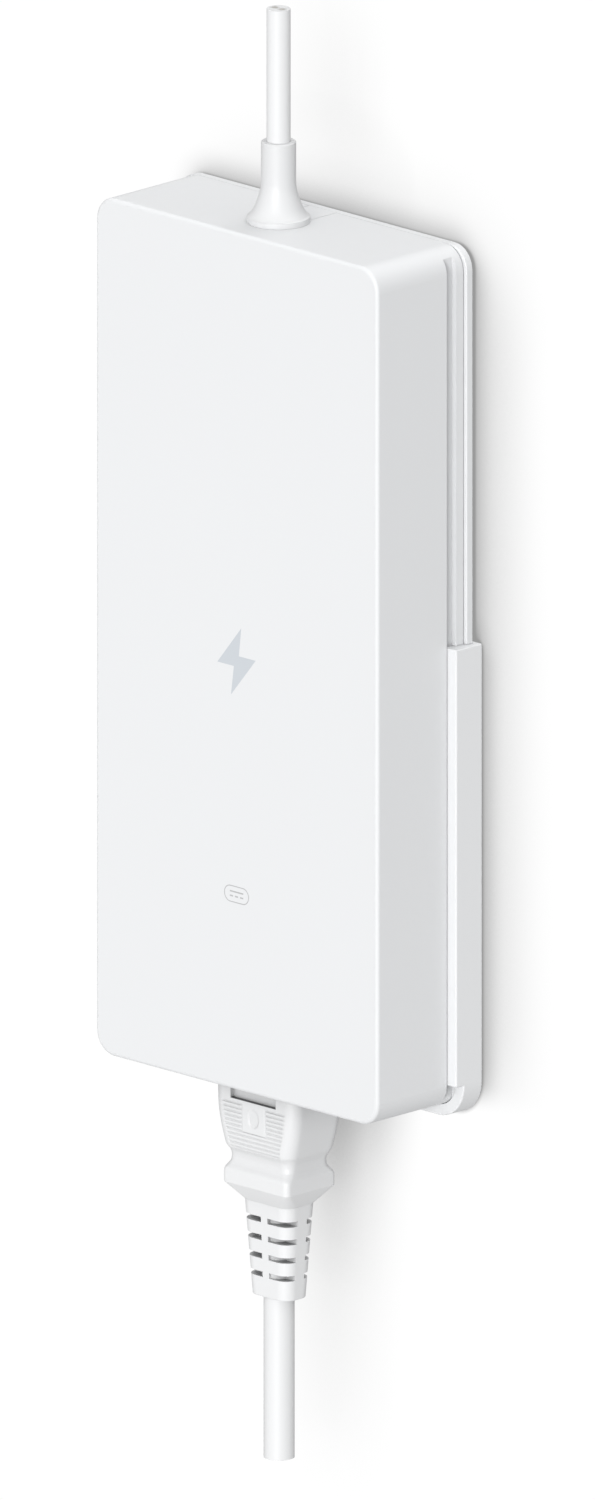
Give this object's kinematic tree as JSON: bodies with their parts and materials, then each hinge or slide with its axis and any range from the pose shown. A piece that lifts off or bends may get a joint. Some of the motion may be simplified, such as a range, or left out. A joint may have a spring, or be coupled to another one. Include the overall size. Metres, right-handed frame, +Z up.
{
  "type": "wall-hung power supply with slide-in bracket",
  "caption": "White wall-hung power brick with a captive output lead and a mains inlet, sliding into an open-topped wall bracket and fed by a moulded mains plug.",
  "frame": {"origin": "on the wall plane, at the centre of the bracket's four screw holes", "axes": "+Z up, +Y into the wall, +X to the right as seen from the front"},
  "size_m": [0.1032, 0.033, 0.3673],
  "materials": {
    "case_white": "fine matt moulded white plastic",
    "bracket_white": "fine matt moulded white plastic",
    "boot_white": "smooth soft white rubber",
    "cable_white": "smooth white cable jacket",
    "plug_white": "satin moulded white connector body",
    "plug_insert_white": "hard white connector face",
    "core_insulation": "coloured core insulation",
    "copper": "bare copper strands and enamelled wire",
    "contact_brass": "sprung brass contacts",
    "pin_nickel": "nickel-plated pins",
    "inlet_plastic": "moulded inlet housing",
    "screw_steel": "zinc-plated steel",
    "board_green": "solder-masked glass epoxy",
    "sheet_film": "black insulating film",
    "heatsink_aluminium": "plain sheet and extruded aluminium",
    "pad_silicone": "soft grey-blue silicone",
    "ferrite": "sintered ferrite",
    "black_epoxy": "moulded black epoxy",
    "capacitor_sleeve": "shrunk plastic sleeve",
    "film_yellow": "yellow moulded film-capacitor box",
    "disc_blue": "blue lacquered disc",
    "disc_green": "dark lacquered disc",
    "fuse_body": "ceramic tube with end caps",
    "inductor_sleeve": "sleeved wound inductor"
  },
  "bodies": {
    "wall_bracket": {"wall_bracket": "bracket_white"},
    "adapter": {"front_shell": "case_white", "rear_cover": "case_white", "case_screws": "screw_steel", "board_screws": "screw_steel", "output_boot": "boot_white", "output_lead_jacket": "cable_white", "output_lead_cores": "core_insulation", "output_lead_conductors": "copper", "inlet_housing": "inlet_plastic", "inlet_pins": "pin_nickel", "inlet_wires": "core_insulation", "main_board": "board_green", "insulation_sheet": "sheet_film", "heat_spreader": "heatsink_aluminium", "thermal_pads": "pad_silicone", "fuse": "fuse_body", "surge_varistor": "disc_blue", "inrush_thermistor": "disc_green", "x_capacitor": "film_yellow", "y_capacitors": "disc_blue", "common_mode_choke_core": "ferrite", "common_mode_choke_windings": "copper", "bridge_rectifier": "black_epoxy", "bulk_capacitors": "capacitor_sleeve", "pfc_choke_core": "ferrite", "pfc_choke_winding": "copper", "primary_heatsink": "heatsink_aluminium", "primary_switches": "black_epoxy", "transformer_core": "ferrite", "transformer_bobbin": "black_epoxy", "transformer_windings": "copper", "controller_board": "board_green", "optocouplers": "black_epoxy", "secondary_heatsink": "heatsink_aluminium", "output_rectifiers": "black_epoxy", "output_capacitors": "capacitor_sleeve", "output_inductor": "inductor_sleeve"},
    "mains_plug": {"plug_overmould": "plug_white", "plug_insert": "plug_insert_white", "plug_contacts": "contact_brass", "cord_jacket": "cable_white", "cord_cores": "core_insulation", "cord_conductors": "copper"}
  },
  "joints": [
    {"name": "adapter_lift", "type": "slide", "parent": "wall_bracket", "child": "adapter", "axis": [0, 0, 1], "range_m": [0, 0.118]},
    {"name": "mains_plug_pull", "type": "slide", "parent": "adapter", "child": "mains_plug", "axis": [0, 0, -1], "range_m": [0, 0.022]}
  ]
}
